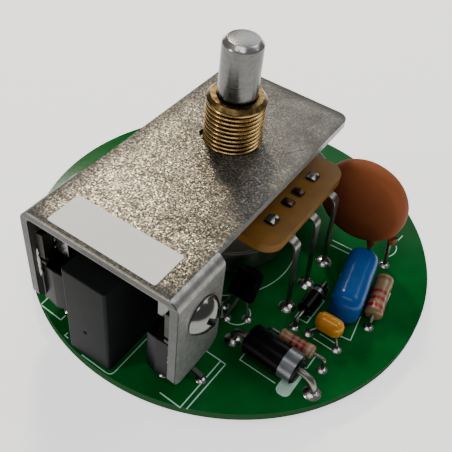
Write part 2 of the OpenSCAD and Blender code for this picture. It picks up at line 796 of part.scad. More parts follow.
module box_pins() color("silver")
for (f = box_feet()) translate([f[0], f[1], 0]) cylinder(h = top_z + foot_h - seat, d = pin_d);

// Disc

module disc_body() color("sienna")
difference() {
    union() {
        translate(disc_mid) rotate([90, 0, 0]) rotate_extrude($fn = 72) {
            translate([0, -disc_t / 2]) square([disc_d / 2 - disc_edge, disc_t]);
            translate([0, -disc_t / 2 + disc_edge]) square([disc_d / 2, disc_t - 2 * disc_edge]);
            for (s = [-1, 1]) translate([disc_d / 2 - disc_edge, s * (disc_t / 2 - disc_edge)])
                intersection() {
                    circle(disc_edge, $fn = 32);
                    translate([0, s > 0 ? 0 : -disc_edge]) square(disc_edge);
                }
        }
        // the coating runs a little way down each lead
        for (i = [0, 1]) rod(on_rim(i, -disc_edge), on_rim(i, neck_out), neck_d);
    }
    for (i = [0, 1]) disc_lead(i);
}
disc_mid = [disc_x, disc_y, top_z + disc_rise];
function on_rim(i, out) = disc_mid
    + (disc_d / 2 + out) * [cos(disc_turns[i]), 0, -sin(disc_turns[i])];
module disc_lead(i) splayed(on_rim(i, 0), disc_feet()[i], top_z + lead_level, thin_d, thin_d);
module disc_leads() color("silver") for (i = [0, 1]) disc_lead(i);

// Film capacitor and small dipped capacitor

film_feet = axial_feet(film_x, film_y, 90 + skew, film_pitch, mid_pad, film_lead_d);
module film_body() color("dodgerblue")
difference() {
    translate([film_x, film_y, top_z + film_rise]) rotate(skew) dipped(film_w, film_l, film_h, film_r);
    for (f = film_feet) translate([f[0], f[1], top_z]) cylinder(h = plug_l + seat, d = film_lead_d);
}
plug_l = 1.6;               // how far leads reach up into the dipped bodies

module film_leads() color("silver")
for (f = film_feet) translate([f[0], f[1], 0]) cylinder(h = top_z + plug_l, d = film_lead_d);

module chip_cap_body() color("orange")
translate([chip_x, chip_y + chip_lean, top_z + chip_rise]) dipped(chip_w, chip_t, chip_h, chip_t / 2);

module chip_cap_leads() color("silver")
for (f = axial_feet(chip_x, chip_y, 0, chip_pitch, small_pad, chip_lead_d)) {
    inset = sign(f[0] - chip_x) * chip_w * chip_root_share;
    splayed([chip_x + inset, chip_y + chip_lean, top_z + chip_rise - seat], f, top_z + chip_knee,
        chip_lead_d, chip_lead_d);
}
chip_knee = 0.5;
chip_root_share = 0.31;      // where its leads leave the body, as a share of its width

// Lying parts

diode_level = top_z + diode_rise + diode_d / 2;
band_in = diode_l / 2 - band_from - band_w;
module large_diode_body() color("black")
translate([diode_x, diode_y, diode_level]) rotate([0, 90, diode_turn]) difference() {
    translate([0, 0, -diode_l / 2]) {
        cylinder(h = diode_edge, d1 = diode_d - 2 * diode_edge, d2 = diode_d);
        translate([0, 0, diode_edge]) cylinder(h = diode_l - 2 * diode_edge, d = diode_d);
        translate([0, 0, diode_l - diode_edge])
            cylinder(h = diode_edge, d1 = diode_d, d2 = diode_d - 2 * diode_edge);
    }
    translate([0, 0, band_in]) difference() {
        cylinder(h = band_w, d = diode_d + 2 * over);
        translate([0, 0, -over]) cylinder(h = band_w + 2 * over, d = diode_d - 4 * band_skin);
    }
}

module large_diode_band() color("lightgray")
translate([diode_x, diode_y, diode_level]) rotate([0, 90, diode_turn]) translate([0, 0, band_in]) difference() {
    cylinder(h = band_w, d = diode_d);
    translate([0, 0, -over]) cylinder(h = band_w + 2 * over, d = diode_d - 4 * band_skin);
}

module large_diode_leads() color("silver")
translate([diode_x, diode_y, 0]) rotate(diode_turn) legs(diode_l, diode_span, diode_level, diode_lead_d, diode_bend);

dio_level = top_z + dio_rise + dio_d / 2;
dio_band_in = dio_l / 2 - dio_band_from - dio_band_w;
module small_diode_body() color("black")
translate([dio_x, dio_y, dio_level]) rotate([0, 90, 90]) difference() {
    translate([0, 0, -dio_l / 2]) cylinder(h = dio_l, d = dio_d);
    translate([0, 0, dio_band_in]) difference() {
        cylinder(h = dio_band_w, d = dio_d + 2 * over);
        translate([0, 0, -over]) cylinder(h = dio_band_w + 2 * over, d = dio_d - 4 * band_skin);
    }
}

module small_diode_band() color("lightgray")
translate([dio_x, dio_y, dio_level]) rotate([0, 90, 90]) translate([0, 0, dio_band_in]) difference() {
    cylinder(h = dio_band_w, d = dio_d);
    translate([0, 0, -over]) cylinder(h = dio_band_w + 2 * over, d = dio_d - 4 * band_skin);
}

module small_diode_leads() color("silver")
translate([dio_x, dio_y, 0]) rotate(90) legs(dio_l, dio_span, dio_level, dio_lead_d, dio_lead_d);

// A resistor's coated body: two end caps, a waist and rounded ends, turned about its axis
module resistor(l, d) {
    cap = l * resist_cap_share;
    waist = d * resist_waist_share;
    round = d / 4;
    rotate([0, 90, 0]) rotate_extrude() union() {
        translate([0, -l / 2 + round]) square([waist / 2, l - 2 * round]);
        translate([0, -l / 2]) square([d / 2 - round, l]);
        for (s = [-1, 1]) {
            translate([0, s * (l / 2 - round - (cap - round) / 2) - (cap - round) / 2])
                square([d / 2, cap - round]);
            translate([d / 2 - round, s * (l / 2 - round)]) circle(round, $fn = 32);
        }
    }
}

resist_level = top_z + resist_rise + resist_d / 2;
module large_resistor_body() color("burlywood")
translate([resist_x, resist_y, resist_level]) rotate(90 + skew) resistor(resist_l, resist_d);

module large_resistor_leads() color("silver")
translate([resist_x, resist_y, 0]) rotate(90 + skew)
    legs(resist_l, resist_span, resist_level, resist_lead_d, resist_lead_d);

small_level = top_z + small_rise + small_d / 2;
module small_resistor_body() color("tan")
translate([small_x, small_y, small_level]) resistor(small_l, small_d);

module small_resistor_leads() color("silver")
translate([small_x, small_y, 0]) legs(small_l, small_span, small_level, small_lead_d, small_lead_d);

// Transistor

module lean_back() translate([tran_x, tran_y, top_z + tran_rise]) rotate([-tran_lean, 0, 0]) children();

module transistor_body() color("black")
lean_back() linear_extrude(tran_l) intersection() {
    circle(d = tran_d);
    translate([-tran_d / 2, tran_d / 2 - tran_flat]) square([tran_d, tran_flat]);
}

module transistor_leads() color("silver")
for (i = [0:2]) {
    side = tran_pitch * [0, 1, -1][i];
    root = [tran_x + side, tran_y, top_z + tran_rise] - 2 * seat * [0, sin(tran_lean), cos(tran_lean)];
    splayed(root, tran_feet()[i], top_z + lead_level, tran_lead_d, tran_lead_d);
}

// Round capacitor

module round_cap_can() color("darkslategray")
translate([round_x, round_y, top_z + round_rise]) difference() {
    rotate_extrude() difference() {
        union() {
            square([round_d / 2 - round_edge, round_h]);
            square([round_d / 2, round_h - round_edge]);
            translate([round_d / 2 - round_edge, round_h - round_edge]) circle(round_edge);
        }
        translate([round_d / 2 + round_neck_in, round_neck]) circle(2 * round_neck_in);
    }
    for (a = [0, 90]) rotate(a) translate([-vent_l / 2, -vent_w / 2, round_h - vent_depth])
        cube([vent_l, vent_w, vent_depth + over]);
}

module round_cap_leads() color("silver")
for (f = axial_feet(round_x, round_y, 0, round_pitch, small_pad, thin_d))
    translate([f[0], f[1], 0]) cylinder(h = top_z + round_rise - seat, d = thin_d);

circuit_board();
heat_sink();
blank_label();
pot_bushing();
pot_front_plate();
pot_terminal_board();
pot_track();
pot_terminals();
pot_rivets();
pot_can();
pot_rear_cap();
pot_shaft();
pot_rotor();
pot_wiper();
pot_clip();
switch_right_body();
switch_right_tab();
switch_right_leads();
switch_left_body();
switch_left_tab();
switch_left_leads();
thermal_pads();
fixing_screws();
fixing_nuts();
lock_washers();
box_capacitor();
box_pins();
disc_body();
disc_leads();
film_body();
film_leads();
chip_cap_body();
chip_cap_leads();
large_diode_body();
large_diode_band();
large_diode_leads();
small_diode_body();
small_diode_band();
small_diode_leads();
large_resistor_body();
large_resistor_leads();
small_resistor_body();
small_resistor_leads();
transistor_body();
transistor_leads();
round_cap_can();
round_cap_leads();
solder_top();
solder_bottom();
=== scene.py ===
import bpy
import bmesh
import json
import math
import random
from mathutils import Matrix, Vector, noise


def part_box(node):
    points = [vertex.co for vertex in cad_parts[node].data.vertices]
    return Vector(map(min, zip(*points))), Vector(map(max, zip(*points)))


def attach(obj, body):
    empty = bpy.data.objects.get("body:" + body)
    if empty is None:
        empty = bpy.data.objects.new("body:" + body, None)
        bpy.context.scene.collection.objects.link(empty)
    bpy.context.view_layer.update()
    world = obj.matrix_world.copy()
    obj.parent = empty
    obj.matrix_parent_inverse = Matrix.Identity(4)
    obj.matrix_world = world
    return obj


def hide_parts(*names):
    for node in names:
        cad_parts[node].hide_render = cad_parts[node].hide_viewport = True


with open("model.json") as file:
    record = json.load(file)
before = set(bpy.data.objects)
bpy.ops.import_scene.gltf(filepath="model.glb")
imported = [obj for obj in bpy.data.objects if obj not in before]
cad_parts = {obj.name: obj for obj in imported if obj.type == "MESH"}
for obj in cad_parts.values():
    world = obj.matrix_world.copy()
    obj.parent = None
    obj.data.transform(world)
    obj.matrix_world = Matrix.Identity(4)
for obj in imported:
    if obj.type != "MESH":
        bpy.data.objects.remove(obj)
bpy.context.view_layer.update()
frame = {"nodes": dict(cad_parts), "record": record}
NODES = frame["nodes"]
SLOT = {s["node"]: s["material_slot"] for s in frame["record"]["subparts"]}
BODY = {n: b for b, ns in frame["record"]["behaviour"]["bodies"].items() for n in ns}
ROOT = "controller"

# Places and sizes on the part, in mm
MM = 0.001
POT = (-1.8, -1.1)             # axis of the potentiometer
BOARD_UNDER = 1.4              # underside of the board
BOARD_TOP = 3.0                # its parts side
SHEET = 1.3                    # thickness of the bracket
MOUNT = 25.0                   # underside of its plate
FLANGE_FACE = 13.9             # outer face of a flange, from the potentiometer's axis
TERMINALS_TOP = MOUNT - 4.7    # top of the potentiometer's terminal board
BUSHING_TOP = MOUNT + 9.5
SHAFT_TIP = 44.05


# Camera
def make_camera():
    """The photograph's view, found by a fit of the part's known sizes to the picture."""
    heading, dip, roll = -0.510744637, 0.795364048, 0.123434265
    place = Vector((41.0856791, -76.11742, 90.7829245 + BOARD_TOP)) * MM
    focal_px, picture_px, sensor = 674.970123, 452, 36
    ahead = Vector((math.sin(heading) * math.cos(dip), math.cos(heading) * math.cos(dip),
                    -math.sin(dip)))
    right = Vector((math.cos(heading), -math.sin(heading), 0))
    up = right.cross(ahead)
    side = right * math.cos(roll) + up * math.sin(roll)
    top = up * math.cos(roll) - right * math.sin(roll)
    turn = Matrix((side, top, -ahead)).transposed()
    data = bpy.data.cameras.new("camera")
    data.sensor_width = sensor
    data.lens = focal_px / picture_px * sensor
    data.clip_start, data.clip_end = 0.001, 10
    cam = bpy.data.objects.new("camera", data)
    cam.matrix_world = Matrix.Translation(place) @ turn.to_4x4()
    bpy.context.scene.collection.objects.link(cam)
    bpy.context.scene.camera = cam


make_camera()


# Materials
def lin(r, g, b):
    """A colour given as on a screen, 0 to 255, made linear."""
    def one(v):
        v /= 255
        return v / 12.92 if v <= 0.04045 else ((v + 0.055) / 1.055) ** 2.4
    return (one(r), one(g), one(b), 1)


def grey(v):
    return (v, v, v, 1)


def scaled(color, k):
    return tuple(min(1, c * k) for c in color[:3]) + (1,)


def in_mm(box):
    """A node's lowest and highest corner, in mm."""
    return [[v / MM for v in corner] for corner in box]


class Mat:
    """A Principled material with helpers for procedural detail in object space, in mm."""

    def __init__(self, name, color, rough, metal=0.0, **more):
        self.m = bpy.data.materials.new(name)
        self.m.use_nodes = True
        self.t = self.m.node_tree
        self.b = self.t.nodes["Principled BSDF"]
        self.set("Base Color", color)
        self.set("Roughness", rough)
        self.set("Metallic", metal)
        for k, v in more.items():
            self.set(k.replace("_", " "), v)
        coord = self.new("TexCoord")
        scale = self.new("VectorMath", operation="SCALE")
        scale.inputs["Scale"].default_value = 1 / MM
        self.t.links.new(coord.outputs["Object"], scale.inputs[0])
        self.xyz = scale.outputs[0]
        self.last_normal = None

    def set(self, key, value):
        self.b.inputs[key].default_value = value

    def link(self, out, key):
        self.t.links.new(out, self.b.inputs[key])

    def new(self, kind, **values):
        n = self.t.nodes.new("ShaderNode" + kind)
        for k, v in values.items():
            setattr(n, k, v)
        return n

    def noise(self, size, detail=3, rough=0.5):
        n = self.new("TexNoise")
        n.inputs["Scale"].default_value = 1 / size
        n.inputs["Detail"].default_value = detail
        n.inputs["Roughness"].default_value = rough
        self.t.links.new(self.xyz, n.inputs["Vector"])
        return n.outputs["Fac"]

    def ramp(self, fac, stops):
        n = self.new("ValToRGB")
        els = n.color_ramp.elements
        while len(els) < len(stops):
            els.new(0.5)
        for e, (p, c) in zip(els, stops):
            e.position = p
            e.color = c
        self.t.links.new(fac, n.inputs["Fac"])
        return n.outputs["Color"]

    def fill(self, inputs, values):
        """Sets each input to a plain value or links it to another node's output."""
        for socket, v in zip(inputs, values):
            if isinstance(v, (int, float, tuple)):
                socket.default_value = v
            else:
                self.t.links.new(v, socket)

    def math(self, op, *values):
        n = self.new("Math", operation=op)
        self.fill(n.inputs, values)
        return n.outputs[0]

    def vector(self, op, *values):
        n = self.new("VectorMath", operation=op)
        self.fill(n.inputs, values)
        return n.outputs["Value" if op in ("LENGTH", "DOT_PRODUCT") else "Vector"]

    def mix(self, fac, a, b, mode="MIX"):
        n = self.new("Mix", data_type="RGBA", blend_type=mode)
        self.fill([n.inputs[i] for i in (0, 6, 7)], (fac, a, b))
        return n.outputs[2]

    def bump(self, height, strength, distance):
        n = self.new("Bump")
        n.inputs["Strength"].default_value = strength
        n.inputs["Distance"].default_value = distance * MM
        self.t.links.new(height, n.inputs["Height"])
        if self.last_normal:
            self.t.links.new(self.last_normal, n.inputs["Normal"])
        self.last_normal = n.outputs[0]
        self.link(self.last_normal, "Normal")

    def flakes(self, size, tilt):
        """Small facets that each lean another way, as grain and spangle do."""
        ragged = 0.6 * size
        wave = self.new("TexNoise")
        cells = self.new("TexVoronoi")
        for n in (wave, cells):
            n.inputs["Scale"].default_value = 1 / size
        self.t.links.new(self.xyz, wave.inputs["Vector"])
        place = self.vector("MULTIPLY_ADD", wave.outputs["Color"], (ragged,) * 3, self.xyz)
        self.t.links.new(place, cells.inputs["Vector"])
        lean = self.vector("SUBTRACT", cells.outputs["Color"], (0.5, 0.5, 0.5))
        lean = self.vector("MULTIPLY", lean, self.math("MULTIPLY", tilt, 2))
        normal = self.last_normal or self.new("NewGeometry").outputs["Normal"]
        self.last_normal = self.vector("NORMALIZE", self.vector("ADD", lean, normal))
        self.link(self.last_normal, "Normal")

    def axis(self, which, vector=None):
        n = self.new("SeparateXYZ")
        self.t.links.new(vector or self.xyz, n.inputs[0])
        return n.outputs["XYZ".index(which)]

    def off_axis(self):
        """Distance from the potentiometer's axis."""
        place = self.vector("SUBTRACT", self.xyz, (*POT, 0))
        return self.vector("LENGTH", self.vector("MULTIPLY", place, (1, 1, 0)))

    def span(self, fac, low, high, to_low=0.0, to_high=1.0):
        n = self.new("MapRange")
        n.inputs["From Min"].default_value = low
        n.inputs["From Max"].default_value = high
        n.inputs["To Min"].default_value = to_low
        n.inputs["To Max"].default_value = to_high
        self.t.links.new(fac, n.inputs["Value"])
        return n.outputs["Result"]


def board_material():
    m = Mat("board_green", lin(4, 66, 30), rough=0.13, Specular_IOR_Level=0.06)
    tone = m.ramp(m.noise(9, detail=2), [(0.35, lin(0, 80, 30)), (0.65, lin(2, 98, 40))])
    # the cut edge of the laminate is paler than the coated faces
    z, coat = m.axis("Z"), 0.04
    rim = m.math("MULTIPLY", m.math("GREATER_THAN", z, BOARD_UNDER + coat),
                 m.math("LESS_THAN", z, BOARD_TOP - coat))
    m.link(m.mix(rim, tone, lin(44, 76, 48)), "Base Color")
    m.link(m.span(rim, 0, 1, 0.06, 0.0), "Specular IOR Level")
    m.bump(m.noise(0.5, detail=2), strength=0.12, distance=0.02)
    return m.m


def scratch(m, x, y, start, way, length):
    """Mask of a straight scratch that fades out at both ends."""
    dx, dy = m.math("SUBTRACT", x, start[0]), m.math("SUBTRACT", y, start[1])
    along = m.math("ADD", m.math("MULTIPLY", dx, way[0]), m.math("MULTIPLY", dy, way[1]))
    aside = m.math("ABSOLUTE", m.math("SUBTRACT", m.math("MULTIPLY", dx, way[1]),
                                      m.math("MULTIPLY", dy, way[0])))
    ends = m.math("MULTIPLY", m.span(along, 0, 1.5), m.span(along, length, length - 1.5))
    return m.math("MULTIPLY", m.span(aside, 0.14, 0.05), ends)


def without_edges(m, top, x, y, lo, hi):
    """The top's mask, weaker in a strip along each edge."""
    for strip in (m.span(x, lo[0] + 0.8, lo[0] + 4.2), m.span(x, hi[0] - 0.4, hi[0] - 2.6),
                  m.span(y, lo[1] + 0.9, lo[1] + 2.4), m.span(y, hi[1] - 0.3, hi[1] - 2.2)):
        top = m.math("MULTIPLY", top, m.span(strip, 0, 1, 0.15, 1.0))
    return top


def aluminium_material():
    """Mill-finish sheet: spangle on the plate's top, smoother on its edges and the flanges."""
    m = Mat("aluminium_sheet", grey(0.3), rough=0.34, metal=0.62)
    lo, hi = in_mm(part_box("heat_sink"))
    x, y = m.axis("X"), m.axis("Y")
    top = m.span(m.axis("Z", m.new("NewGeometry").outputs["Normal"]), 0.93, 0.995)
    open_face = without_edges(m, top, x, y, lo, hi)
    fine = m.noise(0.32, detail=2, rough=0.6)
    blotch = m.noise(1.1, detail=3, rough=0.6)
    wide = m.noise(4.5, detail=3)
    speck = m.math("ADD", m.math("MULTIPLY", fine, 0.75), m.math("MULTIPLY", blotch, 0.25))
    base = m.ramp(speck, [(0.4, lin(56, 54, 50)), (0.47, lin(82, 79, 73)),
                          (0.53, lin(114, 110, 101)), (0.61, lin(172, 165, 150))])
    # painted light: the grain fades to an even grey toward the rear and the terminal side, away
    # from the lamp's highlight, where the sparkle does not show
    away = m.math("ADD", m.math("MULTIPLY", x, 0.6), m.math("MULTIPLY", y, 0.35))
    base = m.mix(m.span(away, -4, 5, 0.0, 0.72), base, lin(104, 104, 102))
    base = m.mix(m.span(wide, 0.38, 0.62, 0.0, 0.8), base, lin(190, 188, 186), "MULTIPLY")
    # painted shade: the top darkens in a strip along each edge and bend, where the sheet reflects
    # less light
    base = m.mix(open_face, lin(56, 58, 60), base)
    # painted shade: the flanges are plain, and the left one is painted darker
    side = m.ramp(blotch, [(0.36, lin(126, 126, 123)), (0.62, lin(148, 148, 145))])
    side = m.mix(m.span(x, lo[0] + 2, lo[0] + 6), lin(84, 85, 84), side)
    base = m.mix(top, side, base)
    # the sheared front edge: burr, fracture and roll-over lie one above the other; the zones are
    # the edge's own, and their bright lines and dark bands are painted highlight and shade
    layers = m.ramp(m.span(m.axis("Z"), MOUNT, hi[2]), [
        (0.0, lin(58, 58, 55)), (0.12, lin(112, 110, 105)), (0.22, lin(40, 39, 37)),
        (0.6, lin(64, 63, 60)), (0.78, lin(24, 24, 22)), (0.95, lin(136, 133, 126))])
    base = m.mix(m.span(y, lo[1] + 0.35, lo[1] + 0.1, 0.0, 0.9), base, layers)
    # one long scratch beside the bushing
    line = scratch(m, x, y, start=(6.15, -0.62), way=(0.54, 0.842), length=7.0)
    m.link(m.mix(m.math("MULTIPLY", line, 0.6), base, lin(44, 42, 38)), "Base Color")
    border = m.math("MULTIPLY", m.math("SUBTRACT", top, open_face), 0.25)
    m.link(m.math("ADD", m.span(speck, 0.42, 0.6, 0.42, 0.28), border), "Roughness")
    m.flakes(0.2, m.span(open_face, 0, 1, 0.015, 0.09))
    m.bump(blotch, strength=0.2, distance=0.05)
    m.bump(fine, strength=0.3, distance=0.03)
    return m.m


def shaft_material():
    """Turned bar: fine rings round its axis, on the end face as well."""
    m = Mat("shaft_metal", lin(100, 100, 97), rough=0.22, metal=1.0)
    away = m.math("ADD", m.math("MULTIPLY", m.off_axis(), 3.0),
                  m.math("MULTIPLY", m.axis("Z"), 2.2))
    rings = m.new("TexNoise", noise_dimensions="1D")
    rings.inputs["Scale"].default_value = 1.6
    rings.inputs["Detail"].default_value = 3
    m.t.links.new(away, rings.inputs["W"])
    m.link(m.span(rings.outputs["Fac"], 0.3, 0.7, 0.2, 0.3), "Roughness")
    m.bump(rings.outputs["Fac"], strength=0.1, distance=0.012)
    tone = m.ramp(m.noise(0.9, detail=4), [(0.4, lin(96, 96, 94)), (0.62, lin(106, 105, 103)),
                                           (0.72, lin(80, 79, 76))])
    # painted highlight: the chamfer and the end face are painted brighter than the turned bar
    z = m.axis("Z")
    tone = m.mix(m.span(z, SHAFT_TIP - 0.78, SHAFT_TIP - 0.74), tone, lin(190, 190, 188))
    tone = m.mix(m.span(z, SHAFT_TIP - 0.03, SHAFT_TIP - 0.01), tone, lin(126, 127, 128))
    m.link(tone, "Base Color")
    return m.m


def solder_material():
    """Solder: bright metal with a lumpy skin."""
    m = Mat("solder", lin(186, 186, 182), rough=0.24, metal=1.0)
    m.bump(m.noise(0.7, detail=2), strength=0.6, distance=0.14)
    m.bump(m.noise(0.2, detail=2), strength=0.3, distance=0.03)
    return m.m


def plain(name, color, rough, metal=0.0, grain=None, vary=0.0, vary_size=4.0, **more):
    """One colour that may vary a little; grain is the (size, strength) of a fine bump."""
    m = Mat(name, color, rough=rough, metal=metal, **more)
    if vary:
        tones = [(0.35, scaled(color, 1 - vary)), (0.65, scaled(color, 1 + vary))]
        m.link(m.ramp(m.noise(vary_size, detail=3), tones), "Base Color")
    if grain:
        size, strength = grain
        m.bump(m.noise(size, detail=3), strength=strength, distance=0.03)
    return m.m


def banded(name, body, bands, middle, direction):
    """Colour bands across a lying part: each is (place, width, colour) along its axis in mm."""
    m = Mat(name, body, rough=0.36, Coat_Weight=0.25, Coat_Roughness=0.15)
    along = m.vector("DOT_PRODUCT", m.vector("SUBTRACT", m.xyz, middle), direction)
    wobble = m.math("MULTIPLY", m.math("SUBTRACT", m.noise(1.1, detail=2), 0.5), 0.25)
    along = m.math("ADD", along, wobble)
    tone = m.mix(m.span(m.noise(1.6, detail=3), 0.35, 0.65), body, scaled(body, 0.8))
    blur = 0.06
    for at, width, color in bands:
        off = m.math("ABSOLUTE", m.math("SUBTRACT", along, at))
        tone = m.mix(m.span(off, width / 2 + blur, width / 2 - blur), tone, color)
    m.link(tone, "Base Color")
    m.bump(m.noise(0.7, detail=2), strength=0.15, distance=0.04)
    return m.m


MAT = {
    "board": board_material(),
    "aluminium": aluminium_material(),
    "label": plain("label_paper", lin(250, 253, 254), rough=0.55, grain=(0.3, 0.08), vary=0.02),
    "brass": plain("brass", lin(176, 140, 88), rough=0.3, metal=1.0,
                   vary=0.18, vary_size=2.0, grain=(0.2, 0.1)),
    "plated_steel": plain("plated_steel", lin(120, 118, 108), rough=0.34, metal=0.9,
                          vary=0.15, grain=(0.6, 0.08)),
    "phenolic": plain("phenolic", lin(126, 86, 26), rough=0.42, Specular_IOR_Level=0.3,
                      vary=0.12, vary_size=3.0, grain=(0.4, 0.06)),
    "carbon": plain("carbon", grey(0.02), rough=0.6),
    "tinned": plain("tinned", lin(126, 124, 118), rough=0.34, metal=1.0,
                    vary=0.1, vary_size=1.5, grain=(0.4, 0.1)),
    # painted shade: a darker copy of the tinned metal, for the switches' tabs and leads, which lie
    # in shade
    "shaded_lead": plain("shaded_lead", lin(64, 64, 60), rough=0.48, metal=1.0,
                       vary=0.15, vary_size=1.5, grain=(0.4, 0.2)),
    "shaft_metal": shaft_material(),
    "moulding": plain("moulding", lin(214, 208, 188), rough=0.5),
    "spring_brass": plain("spring_brass", lin(214, 178, 104), rough=0.3, metal=1.0),
    "black_epoxy": plain("black_epoxy", lin(6, 7, 7), rough=0.26, Specular_IOR_Level=0.09,
                         grain=(0.5, 0.3), vary=0.08),
    "pad": plain("pad", lin(128, 127, 120), rough=0.75, grain=(0.4, 0.25)),
    "zinc": plain("zinc", lin(120, 120, 118), rough=0.18, metal=1.0, vary=0.06),
    "black_box": plain("black_box", lin(24, 26, 26), rough=0.5, Specular_IOR_Level=0.08,
                       grain=(0.3, 0.14), vary=0.08),
    "brown_coating": plain("brown_coating", lin(124, 68, 36), rough=0.62,
                           vary=0.1, vary_size=5.0, grain=(0.5, 0.1)),
    "blue_coating": plain("blue_coating", lin(0, 74, 144), rough=0.22, vary=0.05, grain=(1.8, 0.5),
                          Specular_IOR_Level=0.2, Coat_Weight=0.05, Coat_Roughness=0.08),
    "yellow_coating": plain("yellow_coating", lin(204, 134, 14), rough=0.18,
                            vary=0.1, vary_size=2.0, grain=(1.6, 0.12),
                            Coat_Weight=0.2, Coat_Roughness=0.1),
    "silver_band": plain("silver_band", lin(118, 122, 126), rough=0.3, metal=0.8,
                         vary=0.1, vary_size=1.0),
    "tan_coating": plain("tan_coating", lin(176, 150, 118), rough=0.35),
    "dark_sleeve": plain("dark_sleeve", lin(14, 18, 18), rough=0.35, Specular_IOR_Level=0.3),
    "solder": solder_material(),
    "silk": plain("legend_ink", lin(200, 240, 220), rough=0.55, grain=(0.15, 0.2)),
    "paste": plain("paste", lin(222, 220, 212), rough=0.6, grain=(0.3, 0.4)),
}

for node, obj in NODES.items():
    obj.data.materials.clear()
    obj.data.materials.append(MAT[SLOT[node]])


# Pieces
def add(name, mesh, slot, body=ROOT, stands_for=(), mat=None):
    """A visible piece on a body, painted with its slot's material or with its own."""
    obj = bpy.data.objects.new(name, mesh)
    bpy.context.scene.collection.objects.link(obj)
    mesh.materials.clear()
    mesh.materials.append(mat or MAT[slot])
    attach(obj, body)
    if stands_for:
        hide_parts(*stands_for)
    return obj


def smooth(obj, angle):
    """Smooth shading that breaks where two faces meet at more than the angle."""
    for p in obj.data.polygons:
        p.use_smooth = True
    bm = bmesh.new()
    bm.from_mesh(obj.data)
    for e in bm.edges:
        e.smooth = len(e.link_faces) != 2 or e.calc_face_angle(0) <= math.radians(angle)
    bm.to_mesh(obj.data)
    bm.free()


def applied(obj):
    """Gives a piece the mesh that its modifiers make, with the same materials."""
    mats = list(obj.data.materials)
    graph = bpy.context.evaluated_depsgraph_get()
    made = bpy.data.meshes.new_from_object(obj.evaluated_get(graph))
    obj.modifiers.clear()
    obj.data = made
    made.materials.clear()
    for m in mats:
        made.materials.append(m)
    return made


def cutter(mesh):
    obj = bpy.data.objects.new("cutter", mesh)
    bpy.context.scene.collection.objects.link(obj)
    return obj


def carve(obj, tool):
    """Takes the tool's shape out of a piece and deletes the tool."""
    mod = obj.modifiers.new("cut", "BOOLEAN")
    mod.operation = "DIFFERENCE"
    mod.solver = "EXACT"
    mod.use_self = True
    mod.object = tool
    applied(obj)
    bpy.data.objects.remove(tool)


def thicken(obj, thickness):
    solid = obj.modifiers.new("thickness", "SOLIDIFY")
    solid.thickness = thickness * MM
    solid.offset = -1


def eased(node, width, segments=2, mat=None, cut=None):
    """A copy of a node's own solid with its edges rounded, shown in its place."""
    mesh = NODES[node].data.copy()
    bm = bmesh.new()
    bm.from_mesh(mesh)
    bmesh.ops.remove_doubles(bm, verts=bm.verts, dist=2e-6)
    bmesh.ops.dissolve_limit(bm, angle_limit=math.radians(0.6), verts=bm.verts, edges=bm.edges)
    bm.to_mesh(mesh)
    bm.free()
    obj = add(node + "_shape", mesh, SLOT[node], BODY[node], (node,), mat)
    if cut:
        carve(obj, cut)
    bevel = obj.modifiers.new("bevel", "BEVEL")
    bevel.width = width * MM
    bevel.segments = segments
    bevel.limit_method = "ANGLE"
    bevel.angle_limit = math.radians(30)
    smooth(obj, 50)


def finished(bm, name):
    """The mesh of a bmesh, with its faces turned outward."""
    bmesh.ops.recalc_face_normals(bm, faces=bm.faces)
    mesh = bpy.data.meshes.new(name)
    bm.to_mesh(mesh)
    bm.free()
    return mesh


def skin(bm, rings, looped=False):
    """Faces between rings of points in mm, with a cap at each end unless they run in a loop."""
    rows = [[bm.verts.new(Vector(p) * MM) for p in ring] for ring in rings]
    count = len(rows[0])
    for a, b in zip(rows, rows[1:] + (rows[:1] if looped else [])):
        for i in range(count):
            j = (i + 1) % count
            bm.faces.new((a[i], a[j], b[j], b[i])).smooth = True
    if not looped:
        bm.faces.new(list(reversed(rows[0])))
        bm.faces.new(rows[-1])


def from_rings(name, rings, looped=False):
    """A smooth mesh from rings of points, all of the same count, in mm."""
    bm = bmesh.new()
    skin(bm, rings, looped)
    mesh = finished(bm, name)
    for p in mesh.polygons:
        p.use_smooth = True
    return mesh


def around(count):
    """The angles of evenly spaced points round a circle."""
    return [2 * math.pi * i / count for i in range(count)]


def rounded(lo, hi, r, inset=0.0):
    """The outline of a rectangle with rounded corners, drawn in by an inset."""
    points = []
    for cx, cy, start in ((hi[0] - r, hi[1] - r, 0), (lo[0] + r, hi[1] - r, 90),
                          (lo[0] + r, lo[1] + r, 180), (hi[0] - r, lo[1] + r, 270)):
        for k in range(7):
            a = math.radians(start + 15 * k)
            points.append((cx + (r - inset) * math.cos(a), cy + (r - inset) * math.sin(a)))
    return points


def lathe(name, profile, origin, axis, sides):
    """A turned shape: profile is (radius, distance along the axis)."""
    axis = Vector(axis).normalized()
    x = axis.orthogonal().normalized()
    y = axis.cross(x)

    def point(r, h, a):
        return Vector(origin) + x * (r * math.cos(a)) + y * (r * math.sin(a)) + axis * h

    return from_rings(name, [[point(r, h, a) for a in around(sides)] for r, h in profile])


# Bushing with a rolled thread: its pitch, radii and heights, in mm
PITCH, CREST, ROOT_RADIUS, BORE = 0.794, 4.7625, 4.27, 3.225
THREAD_LOW, THREAD_HIGH = MOUNT + 1.05, BUSHING_TOP - 0.75
CHAMFER = 0.6


def thread_radius(h, a):
    """The bushing's radius at a height and an angle."""
    if h < MOUNT:
        return CREST - 0.05
    if h < THREAD_LOW:
        return CREST - 0.35
    if h > THREAD_HIGH:
        return min(CREST, CREST - (h - (BUSHING_TOP - CHAMFER)))
    phase = ((h - THREAD_LOW) / PITCH - a / (2 * math.pi)) % 1
    wave = (0.5 - 0.5 * math.cos(2 * math.pi * phase)) ** 0.85
    fade = min(1.0, (THREAD_HIGH - h) / 0.3)
    return CREST - (CREST - ROOT_RADIUS) * (1 - wave) * fade


